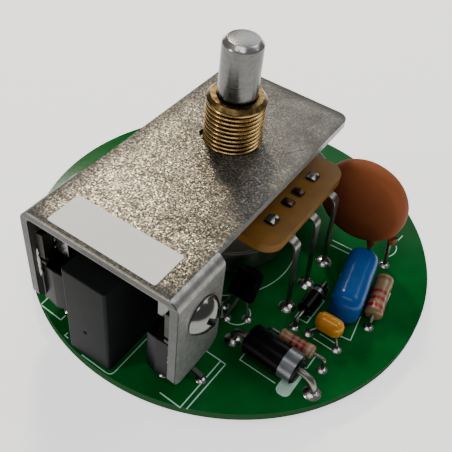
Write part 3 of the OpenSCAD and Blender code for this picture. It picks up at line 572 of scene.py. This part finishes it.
def thread_material():
    m = Mat("brass_thread", lin(176, 140, 88), rough=0.24, metal=1.0)
    # painted shade and highlight: the thread's valleys are painted dark and its crests light
    tone = m.mix(m.span(m.off_axis(), ROOT_RADIUS + 0.1, CREST - 0.08),
                 lin(50, 32, 15), lin(198, 166, 108))
    tone = m.mix(m.span(m.noise(1.2, detail=3), 0.4, 0.7, 0, 0.45), tone, lin(116, 94, 52),
                 "MULTIPLY")
    # the faced end is duller than the thread
    cap = m.span(m.axis("Z"), THREAD_HIGH - 0.05, THREAD_HIGH + 0.05)
    end = m.ramp(m.noise(0.8, detail=3), [(0.35, lin(82, 64, 38)), (0.65, lin(142, 116, 72))])
    m.link(m.mix(cap, tone, end), "Base Color")
    m.link(m.span(cap, 0, 1, 0.24, 0.3), "Roughness")
    m.bump(m.noise(0.6, detail=3), strength=0.3, distance=0.04)
    return m.m


def threaded_bushing():
    sides, steps_per_turn, hair = 96, 14, 0.001
    count = int((THREAD_HIGH - THREAD_LOW) / PITCH * steps_per_turn)
    heights = [TERMINALS_TOP, MOUNT - hair, MOUNT, THREAD_LOW - hair]
    heights += [THREAD_LOW + (THREAD_HIGH - THREAD_LOW) * k / count for k in range(count + 1)]
    heights += [THREAD_HIGH + 0.02, BUSHING_TOP - CHAMFER, BUSHING_TOP]
    rings = []
    for h in heights:
        rings.append([(POT[0] + thread_radius(h, a) * math.cos(a),
                       POT[1] + thread_radius(h, a) * math.sin(a), h) for a in around(sides)])
    for r, h in ((BORE + 0.07, BUSHING_TOP), (BORE, BUSHING_TOP - 0.07), (BORE, TERMINALS_TOP)):
        rings.append([(POT[0] + r * math.cos(a), POT[1] + r * math.sin(a), h)
                      for a in around(sides)])
    mesh = from_rings("bushing_thread", rings, looped=True)
    obj = add("bushing_thread", mesh, "brass", ROOT, ("pot_bushing",), thread_material())
    smooth(obj, 40)


threaded_bushing()


# Dipped bodies
def coated(node, slot, rounds, seed, grain=0.22, ripple=0.05):
    """A dipped body with its corners run smooth, as its coating leaves them."""
    obj = add(node + "_shape", NODES[node].data.copy(), slot, BODY[node], (node,))
    lo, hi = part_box(node)
    size = [h - l for l, h in zip(lo, hi)]
    mod = obj.modifiers.new("remesh", "REMESH")
    mod.mode = "VOXEL"
    mod.voxel_size = grain * MM
    mod.use_smooth_shade = True
    mod = obj.modifiers.new("smooth", "SMOOTH")
    mod.factor = 0.5
    mod.iterations = rounds
    made = applied(obj)
    # smoothing shrinks the body, so it is fitted back to the node's own box
    got_lo = [min(v.co[i] for v in made.vertices) for i in range(3)]
    got_hi = [max(v.co[i] for v in made.vertices) for i in range(3)]
    for v in made.vertices:
        for i in range(3):
            t = (v.co[i] - got_lo[i]) / (got_hi[i] - got_lo[i])
            v.co[i] = lo[i] + size[i] * (0.002 + 0.996 * t)
        dip = (noise.noise(v.co / MM * 0.4 + Vector((seed * 7.1, 0, 0))) - 0.6) * ripple
        v.co += v.normal * dip * MM
    for f in made.polygons:
        f.use_smooth = True


coated("film_body", "blue_coating", rounds=14, seed=1)
coated("chip_cap_body", "yellow_coating", rounds=8, seed=3, grain=0.14, ripple=0.03)


# Lying resistors with their colour bands
def resistor(name, node, mid, direction, length, dia, waist, bands, body_color):
    """A body with a round swelling at each end and a narrower waist between them."""
    end, cap, steps, waist_steps = length / 2, length * 0.24, 14, 9
    prof = []
    for k in range(steps + 1):
        t = k / steps * math.pi / 2
        prof.append((dia / 2 * math.sin(t) ** 0.75 * 0.98 + 0.12,
                     -end + (1 - math.cos(t)) * cap * 0.42))
    for k in range(1, waist_steps):
        t = k / waist_steps
        prof.append((dia / 2 * (1 - (1 - waist) * (0.5 - 0.5 * math.cos(math.pi * t))) + 0.1,
                     -end + cap * 0.42 + (cap * 0.9) * t))
    prof += [(r, -h) for r, h in reversed(prof)]
    prof = [(min(r, dia / 2), h) for r, h in prof]
    paint = banded(name + "_paint", body_color, bands, mid, direction)
    add(name, lathe(name, prof, mid, direction, 48), SLOT[node], ROOT, (node,), paint)


RED = lin(142, 4, 14)
TURN = math.radians(11)    # how far the large resistor is turned from the board's Y axis
resistor("large_resistor_shape", "large_resistor_body", (28.6, 2.5, BOARD_TOP + 2.1),
         (-math.sin(TURN), math.cos(TURN), 0), length=9.2, dia=3.2, waist=0.86,
         bands=[(-3.3, 0.8, RED), (-1.5, 0.75, RED), (0.1, 0.75, RED),
                (3.2, 0.7, lin(128, 84, 40))],
         body_color=lin(150, 120, 80))
resistor("small_resistor_shape", "small_resistor_body", (22.2, -15.0, BOARD_TOP + 2.65),
         (1, 0, 0), length=6.3, dia=2.3, waist=0.84,
         bands=[(2.3, 0.6, lin(176, 136, 118)), (1.25, 0.5, RED), (0.3, 0.5, RED),
                (-0.75, 0.5, RED), (-2.2, 0.5, lin(136, 96, 50))],
         body_color=lin(150, 114, 84))


# Disc with an uneven brown coating
def disc_rings(mid, r, half, edge):
    """The disc's rings from one face to the other, round at the rim."""
    prof = [(r * k / 10 * 0.8, -half + 0.03 * (k / 10)) for k in range(1, 10)]
    for k in range(13):
        t = math.pi / 2 * k / 12
        prof.append((r - edge + edge * math.sin(t), -(half - edge) - edge * math.cos(t)))
    prof += [(a, -b) for a, b in reversed(prof)]
    in_plane, in_depth = 0.006, 0.02    # how far the coating's waves go, as a share of the size
    rings = []
    for a, h in prof:
        ring = []
        for u in around(96):
            p = Vector((a * math.cos(u), h, a * math.sin(u)))
            n = noise.noise(p * 0.22 + Vector((3, 1, 5)))
            k = 1 - in_plane + in_plane * n
            ring.append((mid[0] + p.x * k, mid[1] + p.y * (1 - in_depth + in_depth * n),
                         mid[2] + p.z * k))
        rings.append(ring)
    return rings


def run_rings(mid, r, turn, foot):
    """Rings of the coating that runs down a lead and thins out."""
    t = math.radians(turn)
    out = Vector((math.cos(t), 0, -math.sin(t)))
    inside = Vector(mid) + out * (r - 1.8)
    rim = Vector(mid) + out * (r + 0.5)
    tail = rim + (Vector((*foot, BOARD_TOP + 0.8)) - rim).normalized() * 1.2
    pts = [inside.lerp(rim, k / 5) for k in range(6)] + [rim.lerp(tail, k / 4) for k in range(1, 5)]
    last = len(pts) - 1
    rings = []
    for k, p in enumerate(pts):
        way = (pts[min(k + 1, last)] - pts[max(k - 1, 0)]).normalized()
        x = way.orthogonal().normalized()
        y = way.cross(x)
        w = 1.35 - 0.75 * (k / last) ** 0.8 if k < last else 0.45
        rings.append([p + (x * math.cos(v) + y * math.sin(v)) * w for v in around(20)])
    return rings


def disc_material():
    m = Mat("disc_coating", lin(124, 68, 36), rough=0.7, Specular_IOR_Level=0.2)
    # painted light: the coating is painted lighter towards the right and the top, where light
    # falls, and darker on the left in the plate's shadow
    fade = m.math("ADD", m.span(m.axis("X"), 15.0, 24.0, 0, 0.8),
                  m.span(m.axis("Z"), 16.0, 22.5, 0, 0.8))
    tone = m.mix(m.span(m.noise(5, detail=3), 0.35, 0.65), lin(98, 46, 20), lin(114, 58, 28))
    m.link(m.mix(m.math("MULTIPLY", fade, 0.6), tone, lin(150, 84, 46)), "Base Color")
    m.bump(m.noise(1.4, detail=4), strength=0.25, distance=0.06)
    m.bump(m.noise(0.25, detail=2), strength=0.2, distance=0.015)
    return m.m


def disc():
    mid, r = (18.3, 12.6, BOARD_TOP + 11), 8.2
    bm = bmesh.new()
    skin(bm, disc_rings(mid, r, half=1.9, edge=1.6))
    for f in bm.faces:
        f.smooth = True
    for turn, foot in ((35, (25.8, 11.8)), (65, (22.1, 12.4))):
        skin(bm, run_rings(mid, r, turn, foot))
    mesh = finished(bm, "disc_shape")
    add("disc_shape", mesh, "brown_coating", ROOT, ("disc_body",), disc_material())


disc()


# Rivets of the terminal board: opened leaves, curled and pinched at the waist
def leaf(bm, origin, along, length, waist, wide, rise, curl):
    """One curled leaf, from its pinched root outwards."""
    cols, rows, thick = 6, 8, 0.22
    sheets = []
    for layer in (0, 1):
        sheet = []
        for k in range(rows + 1):
            t = k / rows
            half = (waist + (wide - waist) * t ** 0.7) / 2
            lift = rise * (1 - t) ** 1.3 + curl * (t * (1 - t)) * 2
            row = []
            for i in range(cols + 1):
                u = i / cols * 2 - 1
                z = 0.06 + lift + 0.16 * (1 - u * u) * (0.3 + t) - 0.12 * t * abs(u) ** 3
                bow = length * t * (1 - 0.14 * u * u)
                p = Vector((u * half, along * bow, max(z, 0.03) + thick * (1 - layer) * 0.9))
                row.append(bm.verts.new((Vector(origin) + p) * MM))
            sheet.append(row)
        sheets.append(sheet)
    top, under = sheets
    for k in range(rows):
        for i in range(cols):
            bm.faces.new((top[k][i], top[k][i + 1], top[k + 1][i + 1], top[k + 1][i]))
            bm.faces.new((under[k][i], under[k + 1][i], under[k + 1][i + 1], under[k][i + 1]))
    ring = ([(0, i) for i in range(cols)] + [(k, cols) for k in range(rows)]
            + [(rows, i) for i in range(cols, 0, -1)] + [(k, 0) for k in range(rows, 0, -1)])
    for (a, b), (c, d) in zip(ring, ring[1:] + ring[:1]):
        bm.faces.new((top[a][b], under[a][b], under[c][d], top[c][d]))


def rivet_slots(which, x, places, half_length, color):
    """The punched slot round each rivet: a dark sheet painted as the shade in its hollow."""
    bm = bmesh.new()
    for y in places:
        pts = []
        for a in around(28):
            c, s = math.cos(a), math.sin(a)
            pts.append((x + 1.08 * abs(c) ** 0.5 * math.copysign(1, c),
                        y + half_length * abs(s) ** 0.5 * math.copysign(1, s),
                        TERMINALS_TOP + 0.02))
        bm.faces.new([bm.verts.new(Vector(p) * MM) for p in pts])
    name = "rivet_slots_" + which
    obj = add(name, finished(bm, name), SLOT["pot_terminal_board"],
              mat=plain("slot_shade_" + which, color, rough=0.7))
    thicken(obj, 0.015)


def rivets():
    x, z = POT[0] + 12.5, TERMINALS_TOP
    for which, offsets in (("outer", (-6.5, 6.5)), ("inner", (-1.55, 1.55))):
        outer = which == "outer"
        places = [POT[1] + y for y in offsets]
        bm = bmesh.new()
        for y, out in zip(places, (-1, 1)):
            if outer:
                leaf(bm, (x, y + 0.1, z), -1, 1.15, 0.7, 1.75, 0.2, 0.12)
                leaf(bm, (x, y + 0.12, z), 1, 0.8, 0.7, 1.5, 0.2, 0.0)
            else:
                leaf(bm, (x, y - out * 0.5, z), out, 1.2, 1.5, 1.75, 0.02, 0.1)
        name = "rivets_" + which
        # painted shade: the inner rivets are a darker copy of the outer rivets' metal
        metal = plain("rivet_" + which, lin(120, 122, 116) if outer else lin(74, 54, 44),
                      rough=0.3, metal=0.9, vary=0.3, vary_size=0.8, grain=(0.4, 0.2))
        obj = add(name, finished(bm, name), SLOT["pot_rivets"], ROOT,
                  ("pot_rivets",) if outer else (), metal)
        smooth(obj, 50)
        # the slots are painted dark as shade, darker still at the inner rivets
        rivet_slots(which, x, places, 1.2 if outer else 1.0,
                    lin(44, 24, 8) if outer else lin(22, 10, 6))


rivets()


# Pan heads with a tapered cross recess
def recess_cutter(at, axis, tall):
    """Two crossed wings that narrow with depth."""
    corners = ((1, 1), (-1, 1), (-1, -1), (1, -1))
    bm = bmesh.new()
    for turn in (45, 135):
        t = math.radians(turn)
        u = Vector((0, math.cos(t), math.sin(t)))
        v = Vector((0, -math.sin(t), math.cos(t)))
        rows = []
        for height, half_length, half_width in ((tall - 1.5, 1.0, 0.3), (tall + 0.3, 2.45, 0.62)):
            middle = at + axis * height
            rows.append([bm.verts.new((middle + u * a * half_length + v * b * half_width) * MM)
                         for a, b in corners])
        lo, hi = rows
        bm.faces.new(lo)
        bm.faces.new(hi)
        for i in range(4):
            j = (i + 1) % 4
            bm.faces.new((lo[i], lo[j], hi[j], hi[i]))
    return cutter(finished(bm, "recess_cutter"))


def screws():
    dome, tall, wide = 3.64, 2.3, 3.25    # radius of the dome, height and radius of the head
    shank, reach, rounds = 1.5, 7.6, 24
    brim = tall - dome + math.sqrt(dome ** 2 - wide ** 2)
    prof = [(0.01, -reach), (shank - 0.2, -reach), (shank, 0.25 - reach), (shank, 0.06),
            (wide - 0.05, 0.06), (wide, 0.11), (wide, brim)]
    for k in range(1, rounds + 1):
        a = math.asin(wide / dome) * (1 - k / rounds)
        prof.append((max(0.01, dome * math.sin(a)), tall - dome + dome * math.cos(a)))
    for side, hand in ((1, "right"), (-1, "left")):
        at = Vector((POT[0] + side * FLANGE_FACE, -28.05, 18.8))
        axis = Vector((side, 0, 0))
        obj = add("screw_" + hand, lathe("screw_mesh_" + hand, prof, at, axis, 96),
                  SLOT["fixing_screws"], ROOT, ("fixing_screws",) if side > 0 else ())
        carve(obj, recess_cutter(at, axis, tall))
        smooth(obj, 32)


screws()


# Heat paste pressed out between the tab and the flange
def paste_bead():
    rnd = random.Random(5)
    count, front = 60, -33.07
    for side, hand, low, high in ((1, "right", 9.5, 19.0), (-1, "left", 12.0, 18.5)):
        x = POT[0] + side * (FLANGE_FACE - SHEET - 0.15)
        rings = []
        for k in range(count + 1):
            t = k / count
            z = low + (high - low) * t
            wave = noise.noise(Vector((z * 1.1, side * 3.0, 0)))
            fine = noise.noise(Vector((z * 3.3, side * 5.0, 2)))
            taper = math.sin(math.pi * min(1, max(0, t * 1.04 - 0.02))) ** 0.35
            r = max(0.04, (0.24 + 0.16 * wave + 0.09 * fine) * taper)
            cx, cy = x - side * (0.1 + 0.14 * wave), front + 0.05 * fine
            rings.append([(cx + r * 1.1 * math.cos(a), cy + r * 0.8 * math.sin(a),
                           z + 0.05 * rnd.random()) for a in around(14)])
        add("paste_" + hand, from_rings("paste_" + hand, rings), SLOT["thermal_pads"],
            mat=MAT["paste"])


paste_bead()


# Copies of solids with eased edges
def bushing_notch():
    """Cutter for the notch beside the bushing, as wide as the photograph shows it."""
    turn, reach, r = math.radians(209), 4.1, 1.3
    foot = (POT[0] + reach * math.cos(turn), POT[1] + reach * math.sin(turn), MOUNT - 1)
    return cutter(lathe("notch_cutter", [(r, 0), (r, 4)], foot, (0, 0, 1), 40))


eased("heat_sink", 0.3, 3, cut=bushing_notch())
eased("pot_terminal_board", 0.12)
eased("pot_can", 0.12)
eased("pot_rear_cap", 0.35, 3)
eased("pot_front_plate", 0.3, 3)
eased("pot_terminals", 0.08)
# the switches' tabs and leads use the darker copy of the tinned metal, as painted shade
for part, width, lead in (("body", 0.18, None), ("tab", 0.06, "shaded_lead"),
                          ("leads", 0.05, "shaded_lead")):
    for hand in ("right", "left"):
        eased("switch_%s_%s" % (hand, part), width, mat=MAT.get(lead))
eased("fixing_nuts", 0.12)
eased("lock_washers", 0.05, 1)
eased("transistor_body", 0.18)
eased("large_diode_body", 0.12)
eased("small_diode_body", 0.15)
eased("circuit_board", 0.08)
eased("pot_shaft", 0.06)


# The bare label: a thin sheet with rounded corners
def label():
    lo, hi = in_mm(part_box("blank_label"))
    outline = rounded(lo, hi, 0.35)
    mesh = from_rings("label_sheet", [[(x, y, z) for x, y in outline] for z in (lo[2], hi[2])])
    obj = add("label_sheet", mesh, SLOT["blank_label"], ROOT, ("blank_label",))
    smooth(obj, 30)


label()


# Potted box with a dimple in its front face, on four small feet
def box_body():
    lo, hi = in_mm(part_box("box_capacitor"))
    corner, lip, foot, lip_steps = 0.5, 0.22, 0.4, 5

    def ring(z, inset):
        return [(x, y, z) for x, y in rounded(lo, hi, corner, inset)]

    rings = [ring(lo[2] + foot, lip * 0.5), ring(lo[2] + foot + lip * 0.5, 0)]
    for k in range(lip_steps + 1):
        a = math.pi / 2 * k / lip_steps
        rings.append(ring(hi[2] - lip + lip * math.sin(a), lip * (1 - math.cos(a))))
    obj = add("box_body", from_rings("box_body", rings), SLOT["box_capacitor"], ROOT,
              ("box_capacitor",))
    dimple = [(0.02, -0.5), (0.34, -0.45), (0.4, 0.0), (0.24, 0.22), (0.02, 0.28)]
    at = ((lo[0] + hi[0]) / 2 - 0.3, lo[1], BOARD_TOP + 6.6)
    carve(obj, cutter(lathe("dimple_cutter", dimple, at, (0, 1, 0), 24)))
    smooth(obj, 40)
    box_feet(lo, hi, foot)


def box_feet(lo, hi, tall):
    """A small cube under each corner, let a little way into the box."""
    inset, let_in = 1, 0.1
    bm = bmesh.new()
    for x in (lo[0] + inset, hi[0] - inset):
        for y in (lo[1] + inset, hi[1] - inset):
            middle = Matrix.Translation(Vector((x, y, lo[2] + (tall + let_in) / 2)) * MM)
            size = Matrix.Diagonal((MM, MM, (tall + let_in) * MM, 1))
            bmesh.ops.create_cube(bm, size=1, matrix=middle @ size)
    add("box_feet", finished(bm, "box_feet"), SLOT["box_capacitor"])


box_body()


# Printed outlines on the board
class Ink:
    """Flat marks on the board's parts side, in mm."""
    HALF = 0.09      # half the width of a line
    DEPTH = 0.02     # thickness of the ink

    def __init__(self):
        self.bm = bmesh.new()

    def corner(self, x, y):
        return self.bm.verts.new(Vector((x, y, BOARD_TOP + self.DEPTH)) * MM)

    def solid(self, points):
        self.bm.faces.new([self.corner(x, y) for x, y in points])

    def stroke(self, points, closed=False):
        pts = [Vector(p) for p in points]
        for a, b in zip(pts, pts[1:] + (pts[:1] if closed else [])):
            along = (b - a).normalized() * self.HALF
            across = Vector((-along.y, along.x))
            a, b = a - along * 0.8, b + along * 0.8
            self.solid([a + across, a - across, b - across, b + across])

    def arc(self, cx, cy, r, start, stop, steps):
        rows = []
        for k in range(steps + 1):
            a = math.radians(start + (stop - start) * k / steps)
            rows.append([self.corner(cx + q * math.cos(a), cy + q * math.sin(a))
                         for q in (r - self.HALF, r + self.HALF)])
        for (a, b), (c, d) in zip(rows, rows[1:]):
            self.bm.faces.new((a, b, d, c))


def legend():
    ink = Ink()
    # power switches
    ink.stroke([(9.6, -33.7), (13.45, -33.85), (13.65, -23.5), (10.4, -23.4)])
    ink.stroke([(14.36, -33.4), (14.62, -23.54), (13.65, -23.5)])
    ink.stroke([(-11.35, -31.9), (-11.34, -32.95), (-16.05, -32.7), (-16.2, -23.4), (-13, -23.4)])
    ink.stroke([(-17.2, -30.9), (-17.95, -30.85), (-18.1, -23.5), (-17.2, -23.5)])
    # box capacitor
    ink.stroke([(-4.1, -35.82), (0.95, -35.95)])
    ink.arc(0.95, -35.05, 0.9, -90, 0, 8)
    ink.stroke([(1.85, -35.05), (1.88, -17.0), (-7.4, -17.0), (-7.4, -33.9)])
    ink.stroke([(-8.71, -34.19), (-8.76, -34.76), (-7.99, -34.82)])
    # potentiometer
    ink.arc(POT[0], POT[1], 14.1, -78, 52, 96)
    # large diode, with a solid mark at its band, drawn from the lower right corner
    ink.stroke([(15.9, -19.0), (15.93, -21.48), (22.6, -21.7)])
    mark = rounded((23.1, -22.95), (25.5, -17.4), 1.0)
    ink.solid(mark[-7:] + mark[:-7])
    # small resistor
    ink.stroke([(16.5, -13.4), (25.3, -13.4), (25.3, -16.4), (16.5, -16.4)], closed=True)
    # small diode
    ink.stroke([(18.7, -2.6), (21.04, -2.6), (20.93, -8.6), (18.75, -8.7)], closed=True)
    ink.stroke([(18.75, -7.35), (20.88, -7.26)])
    # small dipped capacitor
    ink.stroke([(23.32, -10.64), (26.79, -10.78)])
    ink.stroke([(23.77, -9.16), (26.55, -9.27)])
    ink.stroke([(23.5, -7.7), (26.9, -7.55)])
    # film capacitor
    ink.stroke([(27.62, -1.76), (28.46, -7.21), (26.95, -7.4)])
    # large resistor
    ink.stroke([(30.09, 2.33), (29.61, 6.24)])
    # transistor
    ink.arc(10.4, -14.2, 2.4, -170, 60, 40)
    # disc
    ink.stroke([(15.68, 9.85), (19.45, 10.03)])
    ink.stroke([(15.34, 11.18), (19.45, 11.31)])
    ink.arc(23.2, 15.9, 2.95, -48, 35, 24)
    ink.stroke([(25.32, 19.11), (25.5, 20.83)])
    obj = add("legend_lines", finished(ink.bm, "legend_lines"), "board", mat=MAT["silk"])
    thicken(obj, ink.DEPTH)


legend()


# Floor, lights and backdrop
def floor():
    half, drop = 3, 0.0001    # half its side and its depth under the lead tips, in metres
    mesh = bpy.data.meshes.new("floor")
    mesh.from_pydata([(-half, -half, 0), (half, -half, 0), (half, half, 0), (-half, half, 0)],
                     [], [(0, 1, 2, 3)])
    mesh.materials.append(plain("floor_white", grey(0.9), rough=0.9, Emission_Color=grey(1.0),
                                Emission_Strength=1.1))
    obj = bpy.data.objects.new("floor", mesh)
    obj.location.z = -drop
    bpy.context.scene.collection.objects.link(obj)


floor()


def area(name, place, look, size, power, color=(1, 1, 1)):
    """A rectangular light, in metres and watts, that faces a point."""
    data = bpy.data.lights.new(name, "AREA")
    data.shape = "RECTANGLE"
    data.size, data.size_y = size
    data.energy = power
    data.color = color
    obj = bpy.data.objects.new(name, data)
    obj.location = place
    obj.rotation_mode = "QUATERNION"
    obj.rotation_quaternion = (Vector(look) - Vector(place)).to_track_quat("-Z", "Y")
    bpy.context.scene.collection.objects.link(obj)


area("key", (-0.3, 0.285, 0.42), (0, 0, 0.01), (0.07, 0.07), 1.5, (1.0, 0.86, 0.62))
area("glint", (-0.345, 0.26, 0.4), (-0.03, -0.012, 0), (0.04, 0.04), 0.3)
area("front", (0.03, -0.24, 0.55), (0, 0, 0.02), (0.4, 0.16), 0.55)
area("top", (0.22, 0.3, 0.5), (0, 0, 0.01), (0.3, 0.3), 0.9, (0.97, 0.99, 1.0))
area("left", (-0.3, -0.42, 0.3), (0, 0, 0.02), (0.07, 0.2), 0.8, (1.0, 0.97, 0.92))
area("back", (-0.18, 0.68, 0.44), (0, 0, 0.02), (0.5, 0.34), 1.1)

world = bpy.data.worlds.new("world")
world.use_nodes = True
backdrop = world.node_tree.nodes["Background"].inputs
backdrop["Color"].default_value = grey(1.0)
backdrop["Strength"].default_value = 0.17
bpy.context.scene.world = world
